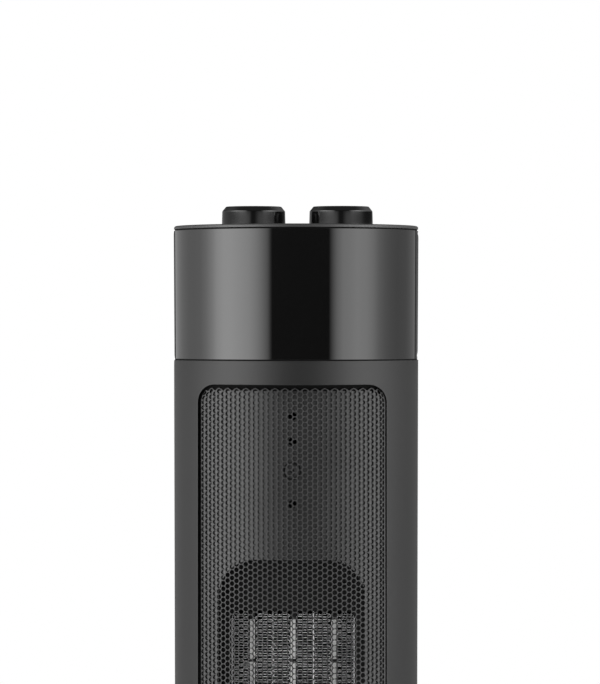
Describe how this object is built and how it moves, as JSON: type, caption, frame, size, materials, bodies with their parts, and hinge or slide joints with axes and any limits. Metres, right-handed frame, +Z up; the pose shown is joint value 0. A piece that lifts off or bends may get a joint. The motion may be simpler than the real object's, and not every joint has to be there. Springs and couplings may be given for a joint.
{
  "type": "tower heater",
  "caption": "Round ceramic tower heater that swings on a low base, with a perforated front outlet, a glossy head, turned control knobs on the cap and a recessed rear grip.",
  "frame": {"origin": "on the floor at the centre of the round base, which is the tower's swing axis", "axes": "+Z up along the tower, -Y out of the air outlet towards the user, +X to the user's right"},
  "size_m": [0.196, 0.196, 0.5546],
  "materials": {
    "body_black": "fine satin texture",
    "panel_black": "polished",
    "knob_black": "satin gloss",
    "inner_black": "as moulded",
    "mesh_metal": "dark paint, satin",
    "aluminium": "mill finish",
    "steel": "zinc plated",
    "iron": "stacked laminations, varnished",
    "copper": "enamelled winding or sintered bronze",
    "rubber": "matte",
    "wire_black": "matte sleeve",
    "white_nylon": "as moulded",
    "grey_nylon": "as moulded"
  },
  "bodies": {
    "base": {"rubber_foot_ring": "rubber", "base_plate": "inner_black", "base_cover": "body_black", "base_screw_1": "steel", "base_screw_2": "steel", "base_screw_3": "steel", "cord_gland": "rubber", "tip_switch": "grey_nylon", "glide_washer": "white_nylon", "pivot_collar": "steel"},
    "tower": {"tower_floor": "inner_black", "swing_motor": "steel", "front_shell": "body_black", "rear_shell": "body_black", "shell_screw_1": "steel", "shell_screw_2": "steel", "shell_screw_3": "steel", "shell_screw_4": "steel", "grille_mesh": "mesh_metal", "grille_liner": "body_black", "outlet_duct": "inner_black", "ptc_frame": "inner_black", "fin_block_1": "aluminium", "fin_block_2": "aluminium", "fin_block_3": "aluminium", "fin_block_4": "aluminium", "heating_tube_1": "aluminium", "heating_tube_2": "aluminium", "heating_tube_3": "aluminium", "thermal_cutout": "aluminium", "fan_scroll": "inner_black", "fan_top_plate": "inner_black", "fan_bottom_plate": "inner_black", "lower_bearing": "copper", "motor_core": "iron", "motor_coil": "copper", "motor_lower_bracket": "steel", "motor_upper_bracket": "steel", "head_deck": "inner_black", "head_front_panel": "panel_black", "head_rear_cover": "body_black", "handle_cup": "body_black", "top_cap": "body_black", "mode_switch": "white_nylon", "thermostat": "steel", "mode_nut": "steel", "thermostat_nut": "steel", "swing_switch": "grey_nylon", "wiring_loom": "wire_black"},
    "plunger": {"tip_plunger": "white_nylon"},
    "crank": {"swing_crank": "white_nylon"},
    "fan": {"fan_impeller": "grey_nylon", "fan_shaft": "steel"},
    "mode_control": {"mode_knob": "knob_black", "mode_shaft": "steel"},
    "thermostat_control": {"thermostat_knob": "knob_black", "thermostat_shaft": "steel"},
    "button": {"swing_button": "knob_black"}
  },
  "joints": [
    {"name": "swing", "type": "hinge", "parent": "base", "child": "tower", "pos_m": [0, 0, 0.03], "axis": [0, 0, 1], "range_deg": [-30, 30]},
    {"name": "crank_turn", "type": "hinge", "parent": "tower", "child": "crank", "pos_m": [0, 0.048, 0.0225], "axis": [0, 0, 1], "range_deg": [-120, 120]},
    {"name": "fan_spin", "type": "hinge", "parent": "tower", "child": "fan", "pos_m": [0, 0.026, 0.188], "axis": [0, 0, 1], "continuous": true},
    {"name": "mode_turn", "type": "hinge", "parent": "tower", "child": "mode_control", "pos_m": [-0.0315, 0.018, 0.545], "axis": [0, 0, -1], "range_deg": [0, 135]},
    {"name": "thermostat_turn", "type": "hinge", "parent": "tower", "child": "thermostat_control", "pos_m": [0.0315, 0.018, 0.545], "axis": [0, 0, -1], "range_deg": [0, 270]},
    {"name": "button_press", "type": "slide", "parent": "tower", "child": "button", "axis": [0, 0, -1], "range_m": [0, 0.0018], "stiffness_N_per_m": 250},
    {"name": "plunger_drop", "type": "slide", "parent": "base", "child": "plunger", "axis": [0, 0, -1], "range_m": [0, 0.005], "stiffness_N_per_m": 40, "springref_m": 0.008}
  ],
  "couplings": [
    {"joint": "crank_turn", "follows": "swing", "ratio": -4}
  ]
}
